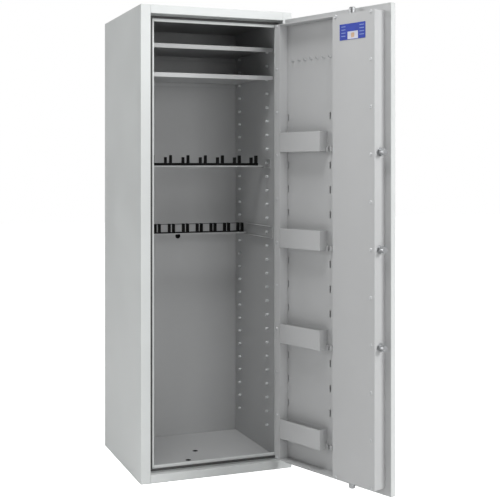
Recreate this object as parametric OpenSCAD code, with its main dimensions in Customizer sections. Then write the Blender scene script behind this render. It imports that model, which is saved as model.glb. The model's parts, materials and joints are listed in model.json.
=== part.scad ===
// Tall steel gun cabinet with a boltwork door.
// Lengths are in millimetres. The body is drawn from its front left bottom corner, X to the right,
// Y to the back and Z up, and is then moved so that the origin is under the middle of the body.
// The door and everything on it is drawn shut, and is then turned about the hinge axis.

/* [Cabinet] */
// Outer width of the body
body_w = 550; // [500:10:700]
// Outer depth of the body
body_d = 500; // [450:10:600]
// Outer height of the body
body_h = 1600; // [1500:10:1700]
// Thickness of the outer shell sheet
shell_t = 3; // [2:0.5:4]
// Thickness of the inner liner sheet
liner_t = 2; // [1:0.5:2]
// Width of the front frame at the sides
stile_w = 34; // [32:1:38]
// Height of the front frame at the top and bottom
rail_h = 29; // [27:1:32]
// Depth of the step that the door closes against
rebate_y = 28; // [26:1:29]
// How far the step stands into the opening
lip_w = 20; // [16:1:21]

/* [Interior] */
// Gap between the shell and the back of the cabinet space
back_gap = 48; // [40:1:60]
// Pitch of the shelf support studs
stud_pitch = 50; // [40:5:60]
// Number of stud rows
stud_rows = 28; // [10:1:28]
// Radius of a stud
stud_r = 4.5; // [3:0.5:5]
// How far a stud stands out of the liner
stud_out = 9; // [5:1:9]
// Distance of the front stud column from the front face
stud_front_y = 128; // [115:1:150]
// Distance of the rear stud column from the front face
stud_rear_y = 397; // [370:1:420]
// Front edge of the shelves
shelf_y = 76; // [74:1:90]
// Height of the shelf rim
shelf_rim = 15; // [12:1:20]

/* [Gun racks] */
// Height of the upper rack's comb base
upper_rack_z = 1062; // [1000:1:1080]
// Height of the lower rack's comb base
lower_rack_z = 811; // [780:1:830]
// Front of the upper rack
upper_rack_y = 160; // [150:1:200]
// Front of the lower rack
lower_rack_y = 325; // [300:1:340]
// Pitch of the upper rack's pairs of walls
upper_pitch = 65.4; // [60:0.1:66]
// Pitch of the lower rack's pairs of walls
lower_pitch = 54.8; // [50:0.1:55]
// Depth of the combs
comb_d = 25; // [20:1:30]

/* [Door] */
// Angle the door stands open
open_angle = 109.5; // [0:0.5:180]
// Gap between the door leaf and the front frame
leaf_gap = 3; // [2.5:0.1:3]
// Thickness of the door leaf
leaf_t = 20; // [18:1:22]
// Depth of the door with its inner box, behind the front face
box_y = 68; // [64:1:70]
// Left side of the inner box
box_x0 = 62.5; // [60:0.5:64]
// Lower edge of the inner box
box_z0 = 55; // [53:1:60]
// Seam between the boltwork cover and the recess
recess_x0 = 241; // [238:1:250]
// Hinge side of the recess
recess_x1 = 489; // [484:1:490]
// Depth of the recess panel behind the front face
recess_y = 30; // [28:1:34]
// Pitch of the cover screws
screw_pitch = 148; // [140:1:148]

/* [Boltwork] */
// Diameter of the locking bolts
bolt_d = 20; // [16:1:20]
// Pitch of the three side bolts
bolt_pitch = 304; // [250:1:320]
// Middle of the bolts behind the front face
bolt_y = 44; // [43:1:45]
// Pitch radius of the drive disc's pins
crank_r = 16; // [14:1:16]
// Handle axis from the left side of the body
handle_x = 178; // [174:1:180]
// Handle and middle bolt height
handle_z = 800; // [780:1:820]

/* [Hidden] */
$fn = 48;
liner_in = stile_w + liner_t;
liner_back_y = body_d - shell_t - back_gap + 1;
floor_z = rail_h - liner_t;
ceiling_z = body_h - floor_z;
lip_back_y = rebate_y + shell_t;
leaf_x0 = stile_w + leaf_gap;
leaf_x1 = body_w - leaf_x0;
leaf_z0 = rail_h + leaf_gap - 0.5;
leaf_h = body_h - 2 * leaf_z0;
rim_x1 = leaf_x1 - 1;
sheet = 2;
hinge_x = body_w - 20;
hinge_y = -9;
hinge_gap = 0.5;
barrel_r = -hinge_y - hinge_gap;
hinge_pin_r = 5;
knuckle_h = 50;
hinge_heights = [250, 1350];
screw_count = 11;
pin_r = 4;
pin_clear = 0.75;
crank_45 = crank_r * cos(45);
bolt_tip_x = stile_w + 4.5;
bar_x0 = 98;
bar_w = 20;
disc_y0 = 36;
disc_t = 6;
spindle_r = 8;
spindle_seat = 3;
rod_y0 = 44;
rod_t = 6;
arm_y0 = 52;
arm_t = 4;
lock_x = 214;
lock_z = 915;
lock_bolt_h = 14;
lock_bolt_y0 = 28;
tray_w = 189;
tray_h = 66;
tray_x0 = recess_x1 - 1 - tray_w;
slot_columns = [recess_x0 + 44, recess_x1 - 6];
slot_w = 5;
slot_pitch = 81.6;
function slot_height(row) = 1226.5 - row * slot_pitch;
anchor_holes = [[268, 224], [209, 127]];
anchor_r = 6.5;
sleeve_r = 10;
back_anchor = [275, 792];
powder_light = [0.82, 0.84, 0.84];
powder_mid = [0.70, 0.71, 0.71];
zinc = [0.62, 0.63, 0.64];
black_plastic = [0.05, 0.05, 0.06];

// ---------- Placing ----------

// Moves the body's corner frame to the frame with its origin under the middle of the body
module in_body() {
    translate([-body_w / 2, -body_d / 2, 0]) children();
}

// Turns the shut door to where it stands open
module on_door() {
    in_body()
        translate([hinge_x, hinge_y, 0])
            rotate([0, 0, open_angle])
                translate([-hinge_x, -hinge_y, 0]) children();
}

// A box from its lowest corner to its highest corner
module block(low, high) {
    translate(low) cube(high - low);
}

// A round bar along X, Y or Z, starting at a point
module bar_x(start, r, length) {
    translate(start) rotate([0, 90, 0]) cylinder(r = r, h = length);
}
module bar_y(start, r, length) {
    translate(start) rotate([-90, 0, 0]) cylinder(r = r, h = length);
}
module bar_z(start, r, length) {
    translate(start) cylinder(r = r, h = length);
}

module other_side() {
    translate([body_w, 0, 0]) mirror([1, 0, 0]) children();
}

module other_end() {
    translate([0, 0, body_h]) mirror([0, 0, 1]) children();
}

// ---------- Cabinet shell ----------

// Side wall, front stile, return and lip, folded from one sheet
module side_sheet() {
    cube([shell_t, body_d, body_h]);
    cube([stile_w, shell_t, body_h]);
    block([stile_w - shell_t, 0, shell_t], [stile_w, lip_back_y, body_h - shell_t]);
    block([stile_w - shell_t, rebate_y, rail_h], [stile_w + lip_w, lip_back_y, body_h - rail_h]);
}

// Floor plate, front rail, return and lip, folded from one sheet
module end_sheet() {
    block([shell_t, shell_t, 0], [body_w - shell_t, body_d - shell_t, shell_t]);
    block([stile_w, 0, 0], [body_w - stile_w, shell_t, rail_h]);
    block([stile_w, 0, rail_h - shell_t], [body_w - stile_w, lip_back_y, rail_h]);
    block([stile_w + lip_w, rebate_y, rail_h - shell_t],
          [body_w - stile_w - lip_w, lip_back_y, rail_h + lip_w + 3]);
}

module floor_bores(r) {
    for (p = anchor_holes) bar_z([p[0], p[1], -1], r, floor_z + 2);
}

module back_bore(r) {
    bar_y([back_anchor[0], liner_back_y - 1, back_anchor[1]], r, body_d);
}

module body_side_left() {
    color(powder_light) in_body() side_sheet();
}

module body_side_right() {
    color(powder_light) in_body() other_side() side_sheet();
}

module body_top() {
    color(powder_light) in_body() other_end() end_sheet();
}

module body_bottom() {
    color(powder_light) in_body() difference() {
        end_sheet();
        floor_bores(sleeve_r);
    }
}

module body_back() {
    color(powder_light) in_body() difference() {
        block([shell_t, body_d - shell_t, 0], [body_w - shell_t, body_d, body_h]);
        back_bore(sleeve_r);
    }
}

// ---------- Liner ----------

module liner_side() {
    block([stile_w, lip_back_y, floor_z - liner_t],
          [liner_in, liner_back_y + liner_t, ceiling_z + liner_t]);
}

module liner_left() {
    color(powder_mid) in_body() liner_side();
}

module liner_right() {
    color(powder_mid) in_body() other_side() liner_side();
}

module liner_back() {
    color(powder_mid) in_body() difference() {
        block([liner_in, liner_back_y, floor_z - liner_t],
              [body_w - liner_in, liner_back_y + liner_t, ceiling_z + liner_t]);
        back_bore(sleeve_r);
    }
}

module liner_floor() {
    color(powder_mid) in_body() difference() {
        block([liner_in, lip_back_y, floor_z - liner_t], [body_w - liner_in, liner_back_y, floor_z]);
        floor_bores(sleeve_r);
    }
}

module liner_ceiling() {
    color(powder_mid) in_body()
        block([liner_in, lip_back_y, ceiling_z],
              [body_w - liner_in, liner_back_y, ceiling_z + liner_t]);
}

// Five loose boards between the shell and the liner
module wall_insulation() {
    gap = 0.5;
    z0 = shell_t + gap;
    z1 = body_h - shell_t - gap;
    board_back = liner_back_y + liner_t - gap;
    color("khaki") in_body() {
        block([shell_t + gap, lip_back_y + gap, z0], [stile_w - gap, board_back, z1]);
        other_side() block([shell_t + gap, lip_back_y + gap, z0], [stile_w - gap, board_back, z1]);
        difference() {
            block([shell_t + gap, liner_back_y + liner_t + gap, z0],
                  [body_w - shell_t - gap, body_d - shell_t - gap, z1]);
            back_bore(sleeve_r + gap);
        }
        difference() {
            block([stile_w + gap, lip_back_y + gap, z0],
                  [body_w - stile_w - gap, board_back, floor_z - liner_t - gap]);
            floor_bores(sleeve_r + gap);
        }
        block([stile_w + gap, lip_back_y + gap, ceiling_z + liner_t + gap],
              [body_w - stile_w - gap, board_back, z1]);
    }
}

// Four strips on the step, where the shut door leaf presses on them
module rebate_seal() {
    seal_w = 8;
    seal_t = 7;
    edge = 5;
    y0 = rebate_y - seal_t;
    z0 = rail_h + edge;
    color("dimgray") in_body() {
        block([stile_w + edge, y0, z0], [stile_w + edge + seal_w, rebate_y, body_h - z0]);
        other_side() block([stile_w + edge, y0, z0], [stile_w + edge + seal_w, rebate_y, body_h - z0]);
        long_strip = [stile_w + edge + seal_w, y0, z0];
        block(long_strip, [body_w - long_strip[0], rebate_y, z0 + seal_w]);
        other_end() block(long_strip, [body_w - long_strip[0], rebate_y, z0 + seal_w]);
    }
}

// Round studs, whose tops carry the shelves
function stud_height(row) = floor_z + row * stud_pitch - stud_r;

module stud_wall() {
    for (y = [stud_front_y, stud_rear_y])
        for (row = [2:stud_rows + 1])
            bar_x([liner_in, y, stud_height(row)], stud_r, stud_out);
}

module support_studs() {
    color(powder_mid) in_body() {
        stud_wall();
        other_side() stud_wall();
    }
}

module anchor_sleeves() {
    color(black_plastic) in_body() difference() {
        union() {
            for (p = anchor_holes) bar_z([p[0], p[1], 0], sleeve_r, floor_z);
            bar_y([back_anchor[0], liner_back_y, back_anchor[1]], sleeve_r, body_d - liner_back_y);
        }
        floor_bores(anchor_r);
        back_bore(anchor_r);
    }
}

// ---------- Shelves and gun racks ----------

// A sheet with rims folded down, standing on four studs of one row
module shelf(row) {
    side_gap = 3;
    seat = 5;
    t = 1.5;
    x0 = liner_in + side_gap;
    x1 = body_w - x0;
    y1 = liner_back_y - 5;
    z0 = floor_z + row * stud_pitch;
    z1 = z0 + seat;
    color(powder_mid) in_body() {
        block([x0, shelf_y, z1 - t], [x1, y1, z1]);
        block([x0, shelf_y, z1 - shelf_rim], [x1, shelf_y + t, z1]);
        block([x0, y1 - t, z1 - shelf_rim], [x1, y1, z1]);
        block([x0, shelf_y, z0], [x0 + t, y1, z1]);
        block([x1 - t, shelf_y, z0], [x1, y1, z1]);
    }
}

module shelf_upper() {
    shelf(29);
}

module shelf_lower() {
    shelf(27);
}

bracket_t = 2;

// A channel that lies against the side wall, cut out around the studs, from y0 to behind the comb
module bracket(y0, comb_y, z0, z1) {
    flange = 10;
    cut = 6;
    y1 = comb_y + comb_d + 3;
    x1 = liner_in + flange;
    difference() {
        union() {
            block([liner_in, y0, z0], [liner_in + bracket_t, y1, z1]);
            block([liner_in, y0, z0], [x1, y1, z0 + bracket_t]);
            block([liner_in, y0, z1 - bracket_t], [x1, comb_y - 2, z1]);
        }
        for (row = [2:stud_rows + 1])
            bar_x([liner_in - 1, stud_front_y, stud_height(row)], cut, bracket_t + 2);
    }
}

// A shallow channel that carries a comb and stands on the lower flanges of its brackets
module rack_bar(y0, z_top) {
    t = 1.5;
    fold = 4;
    foot = 8;
    x0 = liner_in + bracket_t;
    x1 = body_w - x0;
    y1 = y0 + comb_d + 3;
    color(powder_mid) in_body() {
        block([x0, y0, z_top - t], [x1, y1, z_top]);
        block([x0, y0, z_top - fold], [x1, y0 + t, z_top]);
        block([x0, y1 - t, z_top - fold], [x1, y1, z_top]);
        for (x = [x0, x1 - t]) block([x, y0, z_top - foot], [x + t, y1, z_top]);
    }
}

// Walls of a comb in pairs, from the middle of the first pair, where the left walls may be lower
module comb_walls(pairs, first_x, pitch, spacing, wall, y0, z0, left_h, right_h) {
    for (i = [0:pairs - 1]) {
        left_x = first_x + i * pitch - (spacing + wall) / 2;
        right_x = left_x + spacing;
        block([left_x, y0, z0], [left_x + wall, y0 + comb_d, z0 + left_h]);
        block([right_x, y0, z0], [right_x + wall, y0 + comb_d, z0 + right_h]);
    }
}

module upper_rack_brackets() {
    z0 = upper_rack_z - 10;
    color(powder_mid) in_body() {
        bracket(100, upper_rack_y, z0, z0 + 36);
        other_side() bracket(100, upper_rack_y, z0, z0 + 36);
    }
}

module upper_rack_bar() {
    rack_bar(upper_rack_y, upper_rack_z);
}

module upper_rack_comb() {
    pairs = 7;
    first_x = 82.8;
    spacing = 18.9;
    end = 14;
    base_t = 9.5;
    y0 = upper_rack_y;
    z0 = upper_rack_z;
    last_x = first_x + (pairs - 1) * upper_pitch;
    color(black_plastic) in_body() {
        block([first_x - end, y0, z0], [last_x + end, y0 + comb_d, z0 + base_t]);
        comb_walls(pairs, first_x, upper_pitch, spacing, 4, y0, z0, 30, 37);
    }
}

module lower_rack_brackets() {
    z0 = lower_rack_z - 10;
    color(powder_mid) in_body() {
        bracket(84, lower_rack_y, z0, z0 + 43);
        other_side() bracket(84, lower_rack_y, z0, z0 + 43);
    }
}

module lower_rack_bar() {
    rack_bar(lower_rack_y, lower_rack_z);
}

// Its walls are joined by a thin rail along their front upper edges
module lower_rack_comb() {
    pairs = 8;
    first_x = 103.8;
    spacing = 16.3;
    end = 11.6;
    base_t = 4;
    wall_h = 35;
    rail = 2;
    y0 = lower_rack_y;
    z0 = lower_rack_z;
    last_x = first_x + (pairs - 1) * lower_pitch;
    color(black_plastic) in_body() {
        block([first_x - lower_pitch, y0, z0], [last_x + end, y0 + comb_d, z0 + base_t]);
        comb_walls(pairs, first_x, lower_pitch, spacing, 5, y0, z0, wall_h, wall_h);
        block([first_x - spacing / 2, y0, z0 + wall_h - rail],
              [last_x + spacing / 2, y0 + rail, z0 + wall_h]);
    }
}

// ---------- Hinges ----------

module knuckle_bore(z, length) {
    bar_z([hinge_x, hinge_y, z], hinge_pin_r + 0.1, length);
}

// Barrel and plate on the frame
module hinge_lower_knuckles() {
    color(powder_light) in_body() for (z = hinge_heights) difference() {
        union() {
            bar_z([hinge_x, hinge_y, z], barrel_r, knuckle_h);
            block([hinge_x, -5, z], [body_w - 2, 0, z + knuckle_h]);
        }
        knuckle_bore(z - 1, knuckle_h + 2);
    }
}

// Barrel and plate on the door, which lift off the pins and stay just clear of the frame
module hinge_upper_knuckles() {
    color(powder_light) on_door() for (z = hinge_heights) let (low = z + knuckle_h + 1) difference() {
        union() {
            bar_z([hinge_x, hinge_y, low], barrel_r, knuckle_h);
            block([leaf_x1 - 34, -5, low], [leaf_x1, 0, low + knuckle_h]);
            block([leaf_x1 - 1, -5, low], [hinge_x, -hinge_gap, low + knuckle_h]);
        }
        knuckle_bore(low - 3, knuckle_h - 1);
    }
}

module hinge_pins() {
    color(zinc) in_body() for (z = hinge_heights)
        bar_z([hinge_x, hinge_y, z], hinge_pin_r, 2 * knuckle_h - 5);
}

module hinge_washers() {
    color("goldenrod") in_body() for (z = hinge_heights) difference() {
        bar_z([hinge_x, hinge_y, z + knuckle_h], barrel_r - 1, 0.9);
        knuckle_bore(z + knuckle_h - 1, 3);
    }
}

// ---------- Door structure ----------

module handle_bore(r) {
    bar_y([handle_x, -1, handle_z], r, disc_y0 + 1);
}

module lock_bore(r) {
    bar_y([lock_x, -1, lock_z], r, disc_y0 + 1);
}

// Front plate with a folded edge all round
module door_leaf() {
    face_t = 4;
    edge_t = 3;
    color(powder_light) on_door() difference() {
        block([leaf_x0, 0, leaf_z0], [leaf_x1, leaf_t, leaf_z0 + leaf_h]);
        block([leaf_x0 + edge_t, face_t, leaf_z0 + edge_t],
              [leaf_x1 - edge_t, leaf_t + 1, leaf_z0 + leaf_h - edge_t]);
        handle_bore(13);
        lock_bore(10);
    }
}

module door_insulation() {
    gap = 0.5;
    edge = 3 + gap;
    color("khaki") on_door() difference() {
        block([leaf_x0 + edge, 4 + gap, leaf_z0 + edge],
              [leaf_x1 - edge, leaf_t - sheet - gap, leaf_z0 + leaf_h - edge]);
        handle_bore(14);
        lock_bore(12);
    }
}

module door_back_plate() {
    edge = 3;
    color(powder_mid) on_door() difference() {
        block([leaf_x0 + edge, leaf_t - sheet, leaf_z0 + edge],
              [leaf_x1 - edge, leaf_t, leaf_z0 + leaf_h - edge]);
        handle_bore(13);
        lock_bore(10);
    }
}

bolt_heights = [for (i = [-1:1]) handle_z + i * bolt_pitch];
bush_r = 12;

module side_bush_bores(r) {
    for (z = bolt_heights) bar_x([box_x0 - 1, bolt_y, z], r, 30);
}

module end_bush_bores(r) {
    bar_z([handle_x, bolt_y, box_z0 - 5], r, 12);
    bar_z([handle_x, bolt_y, body_h - box_z0 - 7], r, 12);
}

// Welded frame of the inner box: four walls, a middle wall, the cover's flanges and the hinge rim
module door_box_frame() {
    wall = 3;
    flange_w = 24;
    z1 = body_h - box_z0;
    color(powder_mid) on_door() difference() {
        union() {
            block([box_x0, leaf_t, box_z0], [box_x0 + wall, box_y - sheet, z1]);
            block([box_x0, leaf_t, box_z0], [recess_x1 + wall, box_y - sheet, box_z0 + wall]);
            block([box_x0, leaf_t, z1 - wall], [recess_x1 + wall, box_y - sheet, z1]);
            block([recess_x0 - wall, leaf_t, box_z0], [recess_x0, box_y - sheet, z1]);
            block([box_x0, box_y - sheet - wall, box_z0], [box_x0 + flange_w, box_y - sheet, z1]);
            block([recess_x0 - flange_w, box_y - sheet - wall, box_z0], [recess_x0, box_y - sheet, z1]);
            block([recess_x1, leaf_t, box_z0], [recess_x1 + wall, box_y, z1]);
            block([recess_x1, box_y - wall, box_z0], [rim_x1, box_y, z1]);
            block([recess_x0, box_y - sheet, box_z0], [recess_x1, box_y, box_z0 + wall]);
            block([recess_x0, box_y - sheet, z1 - wall], [recess_x1, box_y, z1]);
        }
        side_bush_bores(bush_r);
        end_bush_bores(bush_r);
        rim_screw_places() screw_hole();
        cover_screw_places() screw_hole();
    }
}

module boltwork_cover() {
    color(powder_mid) on_door() difference() {
        block([box_x0, box_y - sheet, box_z0], [recess_x0, box_y, body_h - box_z0]);
        cover_screw_places() screw_hole();
    }
}

// Sheet behind the recess with two columns of slots for the trays
module recess_panel() {
    slot_h = 23;
    wall = 3;
    color(powder_mid) on_door() difference() {
        block([recess_x0, recess_y - sheet, box_z0 + wall],
              [recess_x1, recess_y, body_h - box_z0 - wall]);
        for (row = [0:13]) for (x = slot_columns)
            block([x, recess_y - sheet - 1, slot_height(row) - slot_h / 2],
                  [x + slot_w, recess_y + 1, slot_height(row) + slot_h / 2]);
    }
}

// ---------- Screws of the door ----------

screw_z0 = (body_h - (screw_count - 1) * screw_pitch) / 2;

module cover_screw_places() {
    for (i = [0:screw_count - 1]) translate([box_x0 + 15.5, box_y, screw_z0 + i * screw_pitch]) children();
    for (i = [0, screw_count - 1]) translate([recess_x0 - 14, box_y, screw_z0 + i * screw_pitch]) children();
}

module rim_screw_places() {
    for (i = [0:screw_count - 1]) translate([rim_x1 - 9, box_y, screw_z0 + i * screw_pitch]) children();
}

module screw_hole() {
    bar_y([0, -4, 0], 2.5, 5);
}

// Low round head with a hexagon socket
module screw(head_r) {
    difference() {
        union() {
            rotate([-90, 0, 0]) cylinder(r1 = head_r, r2 = 0.7 * head_r, h = 2.4);
            bar_y([0, -3.5, 0], 2.3, 3.5);
        }
        translate([0, 0.8, 0]) rotate([-90, 0, 0]) cylinder(r = 2, h = 2, $fn = 6);
    }
}

module cover_screws() {
    color(zinc) on_door() cover_screw_places() screw(5.8);
}

module rim_screws() {
    color(zinc) on_door() rim_screw_places() screw(4.5);
}

// ---------- Trays, hooks and plate ----------

// An open tray that hangs by two hooks in one row of slots, with a flange and two tabs beside it
module tray(row) {
    t = 1.5;
    z0 = slot_height(row) - 36.5;
    y0 = recess_y;
    x1 = tray_x0 + tray_w;
    ear_w = 27;
    tab_w = 10;
    color(powder_mid) on_door() {
        difference() {
            block([tray_x0, y0, z0], [x1, box_y, z0 + tray_h]);
            block([tray_x0 + t, y0 + t, z0 + t], [x1 - t, box_y - t, z0 + tray_h + 1]);
        }
        block([tray_x0 - ear_w, y0, z0], [tray_x0, y0 + t, z0 + tray_h]);
        for (x = [tray_x0 - ear_w, tray_x0 - tab_w]) block([x, y0, z0], [x + tab_w, y0 + 9, z0 + 15]);
        for (x = slot_columns)
            block([x + 1, y0 - 5, slot_height(row) - 7], [x + slot_w - 1, y0, slot_height(row) + 7]);
    }
}

module door_tray_1() {
    tray(1);
}

module door_tray_2() {
    tray(5);
}

module door_tray_3() {
    tray(9);
}

module door_tray_4() {
    tray(13);
}

// Bent wire hooks with a round foot on the recess panel
module key_hook() {
    wire_r = 1.5;
    bend_r = 3;
    reach = 8;
    tip = 4;
    bar_y([0, 0, 0], 4, 1.5);
    bar_y([0, 1, 0], wire_r, reach - 1);
    translate([0, reach, bend_r]) rotate([0, 90, 0])
        rotate_extrude(angle = 90) translate([bend_r, 0]) circle(wire_r, $fn = 16);
    bar_z([0, reach + bend_r, bend_r], wire_r, tip);
}

module key_hooks() {
    hook_pitch = 29;
    hook_z = 1418;
    first_x = 258;
    color(zinc) on_door() for (i = [0:7]) translate([first_x + i * hook_pitch, recess_y, hook_z]) key_hook();
}

module rating_plate() {
    color([0.16, 0.25, 0.65]) on_door() block([100, box_y, 1461], [209, box_y + 1, 1512]);
}

// ---------- Bushes and guides ----------

// Flanged bushes in the box walls, around each bolt
module bolt_bushes() {
    bore = bolt_d / 2 + 0.3;
    flange_r = 14;
    top = body_h - box_z0;
    color(zinc) on_door() {
        for (z = bolt_heights) difference() {
            union() {
                bar_x([box_x0, bolt_y, z], bush_r, 12);
                bar_x([box_x0 - 2, bolt_y, z], flange_r, 2);
            }
            bar_x([box_x0 - 3, bolt_y, z], bore, 20);
        }
        difference() {
            union() {
                bar_z([handle_x, bolt_y, box_z0], bush_r, 12);
                bar_z([handle_x, bolt_y, box_z0 - 2], flange_r, 2);
            }
            bar_z([handle_x, bolt_y, box_z0 - 3], bore, 20);
        }
        difference() {
            union() {
                bar_z([handle_x, bolt_y, top - 12], bush_r, 12);
                bar_z([handle_x, bolt_y, top], flange_r, 2);
            }
            bar_z([handle_x, bolt_y, top - 13], bore, 20);
        }
    }
}

// Brackets on the door plate that hold the two flat rods
module rod_guides() {
    clear = 0.75;
    half = 16;
    color(zinc) on_door() for (z = [430, 640, 1060, 1300]) difference() {
        block([handle_x - half, leaf_t, z], [handle_x + half, rod_y0 + rod_t + 4, z + 20]);
        block([handle_x - 8 - clear, rod_y0 - clear, z - 1],
              [handle_x + 8 + clear, rod_y0 + rod_t + clear, z + 21]);
    }
}

module spindle_bush() {
    color("goldenrod") on_door() difference() {
        bar_y([handle_x, 0, handle_z], 13, leaf_t + 8);
        handle_bore(spindle_r + 0.1);
    }
}

module handle_rosette() {
    color(zinc) on_door() difference() {
        bar_y([handle_x, -6, handle_z], 26, 6);
        bar_y([handle_x, -7, handle_z], spindle_r + 0.6, 9);
    }
}

// ---------- Handle and boltwork ----------

// Hub and lever outside the door, level when the bolts are out
module handle_lever() {
    reach = 118;
    neck_y = -32;
    hub_y = neck_y - 12;
    color(zinc) on_door() {
        bar_y([handle_x, hub_y, handle_z], spindle_r, disc_y0 + spindle_seat - hub_y);
        bar_y([handle_x, hub_y, handle_z], 14, 24);
        bar_x([handle_x, neck_y, handle_z], 9, reach);
        translate([handle_x + reach, neck_y, handle_z]) sphere(r = 9);
    }
}

// Three pins: above the axis for the side bolts, and at its sides for the two rods
function disc_pin(clock) = [handle_x + crank_r * sin(clock - 45), handle_z + crank_r * cos(clock - 45)];

module drive_disc() {
    short_pin = 8.5;
    long_pin = 14.5;
    side_pin = disc_pin(0);
    top_pin = disc_pin(90);
    bottom_pin = disc_pin(270);
    color(zinc) on_door() {
        difference() {
            bar_y([handle_x, disc_y0, handle_z], crank_r + 8, disc_t);
            bar_y([handle_x, disc_y0 - 1, handle_z], spindle_r, spindle_seat + 1);
        }
        bar_y([side_pin[0], disc_y0 + disc_t, side_pin[1]], pin_r, long_pin);
        bar_y([top_pin[0], disc_y0 + disc_t, top_pin[1]], pin_r, short_pin);
        bar_y([bottom_pin[0], disc_y0 + disc_t, bottom_pin[1]], pin_r, short_pin);
    }
}

bar_y0 = 38;
bar_y1 = 50;
shank_r = 3.5;

module side_bolts() {
    chamfer = 2;
    r = bolt_d / 2;
    color(zinc) on_door() for (z = bolt_heights) {
        translate([bolt_tip_x, bolt_y, z]) rotate([0, 90, 0])
            rotate_extrude()
                polygon([[0, 0], [r - chamfer, 0], [r, chamfer], [r, bar_x0 - bolt_tip_x],
                         [shank_r, bar_x0 - bolt_tip_x], [shank_r, bar_x0 + bar_w - bolt_tip_x],
                         [0, bar_x0 + bar_w - bolt_tip_x]]);
    }
}

// Bar that joins the side bolts, with an arm to the drive disc
module side_bolt_bar() {
    pin = disc_pin(0);
    slot = pin_r + pin_clear;
    arm_z0 = handle_z + 3;
    arm_z1 = handle_z + 30;
    color(zinc) on_door() difference() {
        union() {
            block([bar_x0, bar_y0, bolt_heights[0] - 20], [bar_x0 + bar_w, bar_y1, bolt_heights[2] + 20]);
            block([bar_x0, bar_y1, arm_z0], [bar_x0 + bar_w, arm_y0 + arm_t, arm_z1]);
            block([bar_x0, arm_y0, arm_z0], [pin[0] + 10, arm_y0 + arm_t, arm_z1]);
        }
        for (z = bolt_heights) bar_x([bar_x0 - 1, bolt_y, z], shank_r + 0.1, bar_w + 2);
        block([pin[0] - slot, arm_y0 - 1, handle_z + crank_45 - slot],
              [pin[0] + slot, arm_y0 + arm_t + 1, handle_z + crank_r + slot]);
    }
}

// Round bolt with a slot for the flat rod
module rod_bolt(tip_z, end_z) {
    chamfer = 2;
    r = bolt_d / 2;
    height = abs(tip_z - end_z);
    translate([handle_x, bolt_y, tip_z]) mirror([0, 0, tip_z > end_z ? 1 : 0])
        rotate_extrude()
            polygon([[0, 0], [r - chamfer, 0], [r, chamfer], [r, height], [0, height]]);
}

rod_half = 8;
strip_in = 17;
strip_out = 29;
bolt_len = 95;

// Flat rod and bolt, lifted by the pin on the hinge side
module top_bolt() {
    pin = disc_pin(90);
    slot = pin_r + pin_clear;
    tip_z = ceiling_z - 5;
    color(zinc) on_door() {
        difference() {
            union() {
                block([handle_x + 4, rod_y0, pin[1] - 9], [handle_x + strip_out, rod_y0 + rod_t, pin[1] + 9]);
                block([handle_x + strip_in, rod_y0, pin[1]],
                      [handle_x + strip_out, rod_y0 + rod_t, handle_z + 70]);
                block([handle_x - rod_half, rod_y0, handle_z + 55],
                      [handle_x + strip_out, rod_y0 + rod_t, handle_z + 70]);
                block([handle_x - rod_half, rod_y0, handle_z + 55],
                      [handle_x + rod_half, rod_y0 + rod_t, tip_z - bolt_len + 10]);
            }
            block([handle_x + crank_45 - slot, rod_y0 - 1, pin[1] - slot],
                  [handle_x + crank_r + slot, rod_y0 + rod_t + 1, pin[1] + slot]);
        }
        rod_bolt(tip_z, tip_z - bolt_len);
    }
}

// Lug welded behind the top rod, which the lock bolt stops from below
module lock_lug() {
    lug_h = 6;
    z0 = lock_z + lock_bolt_h / 2 + 1;
    color(zinc) on_door()
        block([handle_x - rod_half, lock_bolt_y0 + 2, z0], [handle_x + rod_half, rod_y0, z0 + lug_h]);
}

// Flat rod and bolt, pushed down by the pin on the closing side
module bottom_bolt() {
    pin = disc_pin(270);
    slot = pin_r + pin_clear;
    tip_z = floor_z + 5;
    color(zinc) on_door() {
        difference() {
            union() {
                block([handle_x - 25, rod_y0, pin[1] - 9], [handle_x - 4, rod_y0 + rod_t, pin[1] + 9]);
                block([handle_x - 16, rod_y0, handle_z - 70], [handle_x - 4, rod_y0 + rod_t, pin[1]]);
                block([handle_x - rod_half, rod_y0, tip_z + bolt_len - 10],
                      [handle_x + rod_half, rod_y0 + rod_t, handle_z - 45]);
            }
            block([handle_x - crank_r - slot, rod_y0 - 1, pin[1] - slot],
                  [handle_x - crank_45 + slot, rod_y0 + rod_t + 1, pin[1] + slot]);
        }
        rod_bolt(tip_z, tip_z + bolt_len);
    }
}

// ---------- Lock ----------

lock_y0 = leaf_t;
lock_y1 = 41;
lock_half_w = 21;
lock_bolt_t = 10;
lock_low = 45;
lock_high = 35;

module lock_case() {
    wall = 2;
    case_x0 = lock_x - lock_half_w;
    case_x1 = lock_x + lock_half_w;
    color("dimgray") on_door() difference() {
        block([case_x0, lock_y0, lock_z - lock_low], [case_x1, lock_y1, lock_z + lock_high]);
        block([case_x0 + wall, lock_y0 + wall, lock_z - lock_low + wall],
              [case_x1 - wall, lock_y1 - wall, lock_z + lock_high - wall]);
        block([case_x0 - 1, lock_bolt_y0 - 0.5, lock_z - lock_bolt_h / 2 - 0.5],
              [case_x0 + wall + 1, lock_bolt_y0 + lock_bolt_t + 0.5, lock_z + lock_bolt_h / 2 + 0.5]);
        bar_y([lock_x, lock_y0 - 1, lock_z], 8.3, 6);
    }
}

// Round key plug that turns in the lock
module lock_curtain() {
    color("goldenrod") on_door() difference() {
        union() {
            bar_y([lock_x, 1, lock_z], 8, lock_y0 + 5);
            bar_y([lock_x, lock_y0 + 2.5, lock_z], 10, 3.5);
        }
        block([lock_x - 1.3, -1, lock_z - 5.5], [lock_x + 1.3, lock_y0, lock_z + 5.5]);
    }
}

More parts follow.
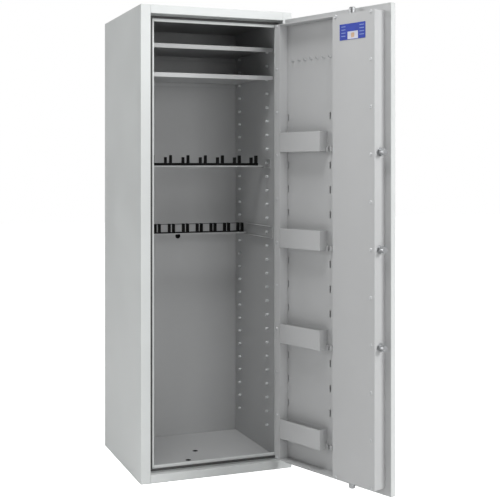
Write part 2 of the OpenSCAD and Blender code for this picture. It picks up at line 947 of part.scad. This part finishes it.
// Block that slides out of the lock case, under the lug of the top rod
module lock_bolt() {
    color(zinc) on_door()
        block([lock_x - lock_half_w + 0.5, lock_bolt_y0, lock_z - lock_bolt_h / 2],
              [lock_x + lock_half_w - 6, lock_bolt_y0 + lock_bolt_t, lock_z + lock_bolt_h / 2]);
}

module keyhole_escutcheon() {
    color(zinc) on_door() difference() {
        union() {
            bar_y([lock_x, -3, lock_z], 20, 3);
            bar_y([lock_x, -6, lock_z + 14], 2.5, 3.5);
            bar_y([lock_x, -6, lock_z + 14], 4, 0.8);
        }
        bar_y([lock_x, -4, lock_z], 3.2, 6);
        block([lock_x - 1.6, -4, lock_z - 8], [lock_x + 1.6, 1, lock_z + 8]);
    }
}

// Drop cover that hangs from the pin of the escutcheon
module escutcheon_cover() {
    pin_z = lock_z + 14;
    color(zinc) on_door() difference() {
        hull() {
            translate([lock_x, -5, pin_z]) rotate([-90, 0, 0]) cylinder(r = 6, h = 1.8, $fn = 32);
            translate([lock_x, -5, lock_z - 2]) rotate([-90, 0, 0]) cylinder(r = 12, h = 1.8, $fn = 32);
        }
        bar_y([lock_x, -6, pin_z], 2.7, 4);
    }
}

body_side_left();
body_side_right();
body_top();
body_bottom();
body_back();
liner_left();
liner_right();
liner_back();
liner_floor();
liner_ceiling();
wall_insulation();
rebate_seal();
support_studs();
shelf_upper();
shelf_lower();
upper_rack_brackets();
upper_rack_bar();
upper_rack_comb();
lower_rack_brackets();
lower_rack_bar();
lower_rack_comb();
anchor_sleeves();
hinge_lower_knuckles();
hinge_pins();
hinge_washers();
door_leaf();
door_insulation();
door_back_plate();
door_box_frame();
boltwork_cover();
recess_panel();
cover_screws();
rim_screws();
bolt_bushes();
rod_guides();
hinge_upper_knuckles();
key_hooks();
door_tray_1();
door_tray_2();
door_tray_3();
door_tray_4();
rating_plate();
lock_case();
spindle_bush();
handle_rosette();
keyhole_escutcheon();
handle_lever();
drive_disc();
side_bolts();
side_bolt_bar();
top_bolt();
lock_lug();
bottom_bolt();
lock_curtain();
lock_bolt();
escutcheon_cover();
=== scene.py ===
"""Looks of a tall steel gun safe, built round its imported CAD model. Lengths are in metres."""

import json
import math

import bmesh
import bpy
from mathutils import Matrix, Vector


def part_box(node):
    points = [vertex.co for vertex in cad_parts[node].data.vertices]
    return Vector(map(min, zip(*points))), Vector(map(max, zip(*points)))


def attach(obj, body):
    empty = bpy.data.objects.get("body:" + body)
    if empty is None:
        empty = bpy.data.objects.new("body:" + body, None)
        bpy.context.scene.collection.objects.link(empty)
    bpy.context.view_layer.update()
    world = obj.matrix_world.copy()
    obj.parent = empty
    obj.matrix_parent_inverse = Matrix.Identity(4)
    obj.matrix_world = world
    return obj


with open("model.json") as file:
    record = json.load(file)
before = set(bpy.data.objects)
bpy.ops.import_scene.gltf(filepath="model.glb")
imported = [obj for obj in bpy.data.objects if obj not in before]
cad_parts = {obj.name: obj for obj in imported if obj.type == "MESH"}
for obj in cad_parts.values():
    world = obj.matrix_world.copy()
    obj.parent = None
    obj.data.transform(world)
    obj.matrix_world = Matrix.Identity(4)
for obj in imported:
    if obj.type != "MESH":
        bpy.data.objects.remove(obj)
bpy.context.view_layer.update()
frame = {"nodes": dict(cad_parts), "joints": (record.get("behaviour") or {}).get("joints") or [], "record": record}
nodes = frame["nodes"]

MM = 0.001
UP = Vector((0, 0, 1))


# ---------- Node helpers ----------

def new_material(name):
    """A node material and its main shader."""
    material = bpy.data.materials.new(name)
    material.use_nodes = True
    return material, material.node_tree, material.node_tree.nodes["Principled BSDF"]


def add(tree, kind, **settings):
    """A node, with its properties and then its inputs set by name."""
    node = tree.nodes.new(kind)
    for key, value in settings.items():
        if key in node.inputs:
            node.inputs[key].default_value = value
        else:
            setattr(node, key, value)
    return node


def coordinates(tree, stretch=(1, 1, 1)):
    """The piece's own coordinates, stretched so that a pattern can run along one axis."""
    place = add(tree, "ShaderNodeTexCoord")
    mapping = add(tree, "ShaderNodeMapping", Scale=stretch)
    tree.links.new(place.outputs["Object"], mapping.inputs["Vector"])
    return mapping.outputs["Vector"]


def noise(tree, vector, scale, detail=2.0, roughness=0.5):
    """A noise pattern from 0 to 1, where scale is cycles a metre."""
    node = add(tree, "ShaderNodeTexNoise", Scale=scale, Detail=detail, Roughness=roughness)
    tree.links.new(vector, node.inputs["Vector"])
    return node.outputs["Fac"]


def remap(tree, value, low, high, start=0.0, end=1.0):
    """Takes start..end to low..high."""
    node = add(tree, "ShaderNodeMapRange")
    for index, number in ((1, start), (2, end), (3, low), (4, high)):
        node.inputs[index].default_value = number
    tree.links.new(value, node.inputs[0])
    return node.outputs[0]


def mix(tree, factor, first, second):
    """Colour first where factor is 0 and second where it is 1."""
    node = add(tree, "ShaderNodeMix", data_type="RGBA")
    for socket, value in ((0, factor), (6, first), (7, second)):
        if isinstance(value, bpy.types.NodeSocket):
            tree.links.new(value, node.inputs[socket])
        else:
            node.inputs[socket].default_value = value
    return node.outputs[2]


def bump(tree, shader, height, distance, strength=1.0, normal=None):
    """Drives the shader's normal from a height pattern, on top of an earlier bump."""
    node = add(tree, "ShaderNodeBump", Distance=distance, Strength=strength)
    tree.links.new(height, node.inputs["Height"])
    if normal is not None:
        tree.links.new(normal, node.inputs["Normal"])
    tree.links.new(node.outputs["Normal"], shader.inputs["Normal"])
    return node.outputs["Normal"]


def grey(value):
    """A neutral colour."""
    return (value, value, value, 1.0)


def times(colour, factor):
    """A colour made lighter or darker."""
    return tuple(min(1.0, channel * factor) for channel in colour[:3]) + (1.0,)


# ---------- Materials ----------

def powder_coat(name, colour, gloss=0.42):
    """Powder coat: fine orange peel, fainter grain and cloudiness, and painted shade darkening the corners and
    creases.
    """
    material, tree, shader = new_material(name)
    place = coordinates(tree)
    peel = noise(tree, place, scale=650, detail=3.0, roughness=0.55)
    grain = noise(tree, place, scale=2600, detail=1.0)
    cloud = noise(tree, place, scale=5, detail=3.0)
    dark = times(colour, 0.98)
    base = mix(tree, remap(tree, cloud, 0, 1, 0.35, 0.65), dark, times(colour, 1.015))
    specks = remap(tree, grain, 0.0, 0.10, 0.62, 0.78)
    base = mix(tree, specks, base, dark)
    crease = add(tree, "ShaderNodeAmbientOcclusion", Distance=12 * MM, samples=8)
    # Painted shade: where the ambient occlusion mask finds a nearby surface, the coat is darkened towards 0.62 of
    # its colour
    crease_shade = remap(tree, crease.outputs["AO"], 0.35, 0.0, 0.25, 0.85)
    base = mix(tree, crease_shade, base, times(colour, 0.62))
    tree.links.new(base, shader.inputs["Base Color"])
    tree.links.new(remap(tree, cloud, gloss - 0.05, gloss + 0.06, 0.3, 0.7), shader.inputs["Roughness"])
    shader.inputs["Specular IOR Level"].default_value = 0.45
    first = bump(tree, shader, peel, 0.18 * MM, 0.55)
    bump(tree, shader, grain, 0.04 * MM, 0.5, first)
    return material


def metal(name, colour, roughness, along, spangle=0.0):
    """Bare or plated steel, with fine drawn lines along one axis and an uneven sheen."""
    material, tree, shader = new_material(name)
    stretch = tuple(6.0 if axis == along else 900.0 for axis in "xyz")
    lines = noise(tree, coordinates(tree, stretch), scale=1.0)
    patches = noise(tree, coordinates(tree), scale=60, detail=4.0, roughness=0.6)
    dull = times(colour, 0.86 - spangle)
    base = mix(tree, remap(tree, patches, 0, 1, 0.35, 0.65), dull, colour)
    tree.links.new(base, shader.inputs["Base Color"])
    shader.inputs["Metallic"].default_value = 1.0
    worn = remap(tree, patches, roughness - 0.07, roughness + 0.10, 0.3, 0.7)
    tree.links.new(worn, shader.inputs["Roughness"])
    bump(tree, shader, lines, 0.03 * MM, 0.35)
    return material


def moulded(name, colour, roughness, texture=900, sheen=0.4):
    """Matt moulded plastic or rubber with a fine spark-eroded grain."""
    material, tree, shader = new_material(name)
    place = coordinates(tree)
    grain = noise(tree, place, scale=texture)
    scuffs = noise(tree, place, scale=45, detail=4.0, roughness=0.65)
    pale = tuple(min(1.0, c * 1.5 + 0.004) for c in colour[:3]) + (1.0,)
    base = mix(tree, remap(tree, scuffs, 0, 0.6, 0.5, 0.75), colour, pale)
    tree.links.new(base, shader.inputs["Base Color"])
    rough = remap(tree, scuffs, roughness, min(1.0, roughness + 0.12), 0.4, 0.7)
    tree.links.new(rough, shader.inputs["Roughness"])
    shader.inputs["Specular IOR Level"].default_value = sheen
    bump(tree, shader, grain, 0.08 * MM, 0.6)
    return material


def gloss_print(name, colour):
    """Printed enamel under a thin clear coat, with a faint ripple."""
    material, tree, shader = new_material(name)
    place = coordinates(tree)
    ripple = noise(tree, place, scale=120)
    tint = noise(tree, place, scale=30)
    base = mix(tree, remap(tree, tint, 0, 1, 0.4, 0.6), times(colour, 0.88), colour)
    tree.links.new(base, shader.inputs["Base Color"])
    shader.inputs["Roughness"].default_value = 0.5
    shader.inputs["Specular IOR Level"].default_value = 0.2
    shader.inputs["Coat Weight"].default_value = 0.08
    shader.inputs["Coat Roughness"].default_value = 0.12
    bump(tree, shader, ripple, 0.06 * MM, 0.3)
    return material


def fibre_board(name):
    """Pressed mineral fibre, hidden between the sheets."""
    material, tree, shader = new_material(name)
    strands = noise(tree, coordinates(tree, (1, 1, 8)), scale=220, detail=5.0, roughness=0.7)
    base = mix(tree, remap(tree, strands, 0, 1, 0.3, 0.7), (0.30, 0.24, 0.13, 1), (0.52, 0.45, 0.28, 1))
    tree.links.new(base, shader.inputs["Base Color"])
    shader.inputs["Roughness"].default_value = 0.95
    bump(tree, shader, strands, 0.8 * MM, 0.8)
    return material


def studio_floor(name):
    """Seamless white paper, lifted for the camera, so that only the softest shadows show on it."""
    material, tree, shader = new_material(name)
    cloud = noise(tree, coordinates(tree), scale=0.8)
    base = mix(tree, cloud, grey(0.90), grey(0.93))
    tree.links.new(base, shader.inputs["Base Color"])
    shader.inputs["Roughness"].default_value = 0.85
    ray = add(tree, "ShaderNodeLightPath")
    shader.inputs["Emission Color"].default_value = grey(1.0)
    lift = remap(tree, ray.outputs["Is Camera Ray"], 0.0, 0.92)
    tree.links.new(lift, shader.inputs["Emission Strength"])
    return material


finishes = {
    "shell_paint": powder_coat("shell_powder_coat", (0.640, 0.660, 0.655, 1.0)),
    # The inner coat is darker than the shell coat mostly as painted shade, standing in for the shade inside the
    # cabinet and on the door's inside
    "inner_paint": powder_coat("inner_powder_coat", (0.500, 0.506, 0.509, 1.0), 0.50),
    "insulation_board": fibre_board("insulation_fibre"),
    "seal_rubber": moulded("seal_rubber", grey(0.060), 0.72, 600),
    "black_plastic": moulded("rack_black_plastic", grey(0.003), 0.55, sheen=0.12),
    "blue_plate": gloss_print("plate_blue_enamel", (0.022, 0.052, 0.40, 1.0)),
    "brass": metal("plain_brass", (0.66, 0.47, 0.20, 1.0), 0.34, "z"),
    "zinc_steel": metal("zinc_plated_steel", (0.50, 0.51, 0.52, 1.0), 0.38, "z", 0.06),
    "satin_steel": metal("satin_steel", (0.56, 0.56, 0.57, 1.0), 0.30, "x"),
}


# ---------- Edges of the CAD nodes ----------

def smooth_group(limit):
    """A geometry node group that keeps only edges sharper than a limit, in degrees, as hard edges."""
    tree = bpy.data.node_groups.new("smooth_by_angle", "GeometryNodeTree")
    tree.interface.new_socket("Geometry", in_out="INPUT", socket_type="NodeSocketGeometry")
    tree.interface.new_socket("Geometry", in_out="OUTPUT", socket_type="NodeSocketGeometry")
    start = tree.nodes.new("NodeGroupInput")
    end = tree.nodes.new("NodeGroupOutput")
    angle = tree.nodes.new("GeometryNodeInputMeshEdgeAngle")
    gentle = tree.nodes.new("FunctionNodeCompare")
    gentle.operation = "LESS_THAN"
    gentle.inputs[1].default_value = math.radians(limit)
    smooth = tree.nodes.new("GeometryNodeSetShadeSmooth")
    smooth.domain = "EDGE"
    faces = tree.nodes.new("GeometryNodeSetShadeSmooth")
    tree.links.new(angle.outputs["Unsigned Angle"], gentle.inputs[0])
    tree.links.new(start.outputs[0], faces.inputs["Geometry"])
    tree.links.new(faces.outputs["Geometry"], smooth.inputs["Geometry"])
    tree.links.new(gentle.outputs["Result"], smooth.inputs["Shade Smooth"])
    tree.links.new(smooth.outputs["Geometry"], end.inputs[0])
    return tree


SMOOTH = smooth_group(32)

# Sheets whose flat faces come as long thin triangles, which are joined before the edges are rounded
FLAT_SHEETS = ("body_", "liner_", "door_leaf", "door_box_frame", "boltwork_cover", "recess_panel",
               "door_back_plate", "door_tray_")


def round_edges(piece, width):
    """Joins split corners and flat faces, rounds the hard edges and evens out the shading."""
    weld = piece.modifiers.new("weld", "WELD")
    weld.merge_threshold = 0.01 * MM
    if piece.name.startswith(FLAT_SHEETS):
        join = piece.modifiers.new("join_flat", "DECIMATE")
        join.decimate_type = "DISSOLVE"
        join.angle_limit = math.radians(0.5)
    bevel = piece.modifiers.new("edge_radius", "BEVEL")
    bevel.width = width
    bevel.segments = 2
    bevel.limit_method = "ANGLE"
    bevel.angle_limit = math.radians(50)
    bevel.use_clamp_overlap = True
    bevel.miter_outer = "MITER_ARC"
    shade = piece.modifiers.new("shade", "NODES")
    shade.node_group = SMOOTH
    even = piece.modifiers.new("even_normals", "WEIGHTED_NORMAL")
    even.keep_sharp = True


# Edge radii in millimetres; a node that isn't here has the usual one
USUAL_RADIUS = 0.5
EDGE_RADIUS = {
    "body_side_left": 1.4, "body_side_right": 1.4, "body_top": 1.2, "body_bottom": 1.2, "body_back": 0.8,
    "door_leaf": 1.4, "door_box_frame": 1.2, "boltwork_cover": 0.9, "recess_panel": 0.4, "rebate_seal": 2.6,
    "shelf_upper": 0.6, "shelf_lower": 0.6, "support_studs": 0.8,
    "upper_rack_bar": 0.6, "upper_rack_brackets": 0.8, "upper_rack_comb": 1.2,
    "lower_rack_bar": 0.6, "lower_rack_brackets": 0.8, "lower_rack_comb": 1.2,
    "door_tray_1": 0.6, "door_tray_2": 0.6, "door_tray_3": 0.6, "door_tray_4": 0.6,
    "handle_lever": 2.0, "handle_rosette": 1.5, "keyhole_escutcheon": 0.8, "escutcheon_cover": 0.6,
    "rating_plate": 0.3,
}

# Nodes whose finish is lighter than the rest of their slot
dull_zinc = metal("screw_dull_zinc", (0.66, 0.67, 0.68, 1.0), 0.58, "z")
LIGHTER = {
    # The studs' paler coat is a painted highlight, standing in for the light that catches their front faces
    "support_studs": powder_coat("stud_powder_coat", (0.80, 0.81, 0.82, 1.0), 0.36),
    "cover_screws": dull_zinc, "rim_screws": dull_zinc, "key_hooks": dull_zinc,
}

for subpart in frame["record"]["subparts"]:
    node = subpart["node"]
    piece = nodes[node]
    piece.data.materials.clear()
    piece.data.materials.append(LIGHTER.get(node, finishes[subpart["material_slot"]]))
    round_edges(piece, EDGE_RADIUS.get(node, USUAL_RADIUS) * MM)


# ---------- Pieces beside the CAD ----------

def mesh_piece(name, build, finish, body, place):
    """A piece from a bmesh builder, put in place and set to ride on a body."""
    mesh = bpy.data.meshes.new(name)
    shape = bmesh.new()
    build(shape)
    bmesh.ops.recalc_face_normals(shape, faces=shape.faces)
    shape.to_mesh(mesh)
    shape.free()
    mesh.materials.append(finish)
    piece = bpy.data.objects.new(name, mesh)
    bpy.context.scene.collection.objects.link(piece)
    piece.matrix_world = place
    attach(piece, body)


def rounded_sheet(shape, width, height, thickness, radius, steps=6):
    """A flat plate in X and Z with round corners, standing out along Y from 0."""
    corners = [(1, 1, 0), (-1, 1, 90), (-1, -1, 180), (1, -1, 270)]
    outline = []
    for sx, sz, start in corners:
        centre = Vector((sx * (width / 2 - radius), 0, sz * (height / 2 - radius)))
        for step in range(steps + 1):
            turn = math.radians(start + 90 * step / steps)
            outline.append(centre + Vector((radius * math.cos(turn), 0, radius * math.sin(turn))))
    face = shape.faces.new([shape.verts.new(point) for point in outline])
    made = bmesh.ops.extrude_face_region(shape, geom=[face])["geom"]
    moved = [item for item in made if isinstance(item, bmesh.types.BMVert)]
    bmesh.ops.translate(shape, verts=moved, vec=Vector((0, thickness, 0)))


def door_axes():
    """The door's own directions at rest: along its width from its closing edge, and into the cabinet."""
    axis = {joint["name"]: Vector(joint["axis"]).normalized() for joint in frame["joints"]}
    return axis["side_bolts_slide"], axis["handle_turn"]


ACROSS, INWARD = door_axes()


def on_door_face(point):
    """A frame whose X runs along the door's width and whose Y points into the cabinet, at a point."""
    turn = Matrix((ACROSS, INWARD, UP)).transposed()
    return Matrix.Translation(point) @ turn.to_4x4()


# Thickness of the plate and of what is printed on it, in millimetres
PLATE_T = 1.0
PRINT_T = 0.15


def plate_print():
    """The blank white field, its small warm mark and the plain bars on the blue plate, in millimetres."""
    low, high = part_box("rating_plate")
    face = (low + high) / 2 + INWARD * PLATE_T / 2 * MM
    white = gloss_print("plate_white_field", (0.66, 0.68, 0.78, 1.0))
    warm = gloss_print("plate_warm_mark", (0.62, 0.42, 0.28, 1.0))
    pale = gloss_print("plate_pale_lines", (0.20, 0.28, 0.62, 1.0))

    def put(name, finish, across, up, width, height, radius, lift=0.0):
        place = on_door_face(face + (ACROSS * across + UP * up + INWARD * lift) * MM)
        mesh_piece(name, lambda s: rounded_sheet(s, width * MM, height * MM, PRINT_T * MM, radius * MM),
                   finish, "door", place)

    put("plate_field", white, across=-2, up=-12, width=44, height=24, radius=1.5)
    put("plate_mark", warm, across=-2, up=-12, width=14, height=15, radius=3, lift=PRINT_T + 0.01)
    for row in range(4):
        up = 17 - 10 * row
        put(f"plate_line_{row}", pale, across=-40, up=up, width=20, height=3, radius=1)
        put(f"plate_side_line_{row}", pale, across=38, up=up, width=18, height=3, radius=1)


plate_print()


# ---------- Floor, light and camera ----------

def floor():
    """A wide floor under the cabinet."""
    bpy.ops.mesh.primitive_plane_add(size=30, location=(0, 0, 0))
    plane = bpy.context.object
    plane.name = "studio_floor"
    plane.data.materials.append(studio_floor("floor_pale"))


def area_light(name, at, towards, width, height, power):
    """A soft rectangular light at one point, facing another."""
    data = bpy.data.lights.new(name, "AREA")
    data.shape = "RECTANGLE"
    data.size = width
    data.size_y = height
    data.energy = power
    light = bpy.data.objects.new(name, data)
    bpy.context.scene.collection.objects.link(light)
    light.location = at
    light.rotation_euler = (Vector(towards) - Vector(at)).to_track_quat("-Z", "Y").to_euler()


def light_the_studio():
    """A dim white surround that the camera sees as pure white, and four large soft lights.

    The key stands to the right, so that the open door and the frame keep it out of the cabinet.
    The light overhead is steep, so that it reaches the cabinet's floor and shades what lies under the trays.
    """
    world = bpy.data.worlds.new("studio")
    world.use_nodes = True
    tree = world.node_tree
    surround = tree.nodes["Background"]
    surround.inputs["Color"].default_value = (1.0, 1.0, 1.0, 1.0)
    ray = add(tree, "ShaderNodeLightPath")
    tree.links.new(remap(tree, ray.outputs["Is Camera Ray"], 0.17, 1.0), surround.inputs["Strength"])
    bpy.context.scene.world = world
    middle = (0, 0, 0.9)
    area_light("key_light", (4.2, -4.4, 4.0), middle, width=2.4, height=2.4, power=270)
    area_light("top_light", (-0.4, -1.2, 3.5), (0, -0.1, 0.2), width=1.2, height=0.8, power=42)
    area_light("left_light", (-4.8, 1.4, 2.0), middle, width=2.5, height=2.5, power=90)
    area_light("front_fill", (0.4, -5.0, 1.5), middle, width=2.0, height=2.0, power=36)


# The camera's place in metres, its turn to the right in degrees, its lens in millimetres and its frame's shift
CAMERA_AT = (-1.170, -3.412, 1.056)
CAMERA_HEADING = 20.53
CAMERA_LENS = 70.98
CAMERA_SHIFT = {"shift_x": 0.0554, "shift_y": -0.1654}


def photo_camera():
    """A level camera whose shifted frame keeps the upright edges upright.

    The shift belongs to this place only, so it is driven by the camera's position and is zero anywhere else.
    """
    data = bpy.data.cameras.new("photo_camera")
    camera = bpy.data.objects.new("photo_camera", data)
    bpy.context.scene.collection.objects.link(camera)
    camera.location = CAMERA_AT
    camera.rotation_euler = (math.radians(90), 0, math.radians(-CAMERA_HEADING))
    data.sensor_width = 36
    data.lens = CAMERA_LENS
    data.clip_end = 100
    for channel, shift in CAMERA_SHIFT.items():
        driver = data.driver_add(channel).driver
        driver.type = "SCRIPTED"
        place = driver.variables.new()
        place.name = "x"
        place.type = "TRANSFORMS"
        place.targets[0].id = camera
        place.targets[0].transform_type = "LOC_X"
        driver.expression = f"{shift} if abs(x - {CAMERA_AT[0]:.3f}) < 0.002 else 0.0"
    bpy.context.scene.camera = camera


floor()
light_the_studio()
photo_camera()
bpy.context.scene.view_settings.view_transform = "Standard"
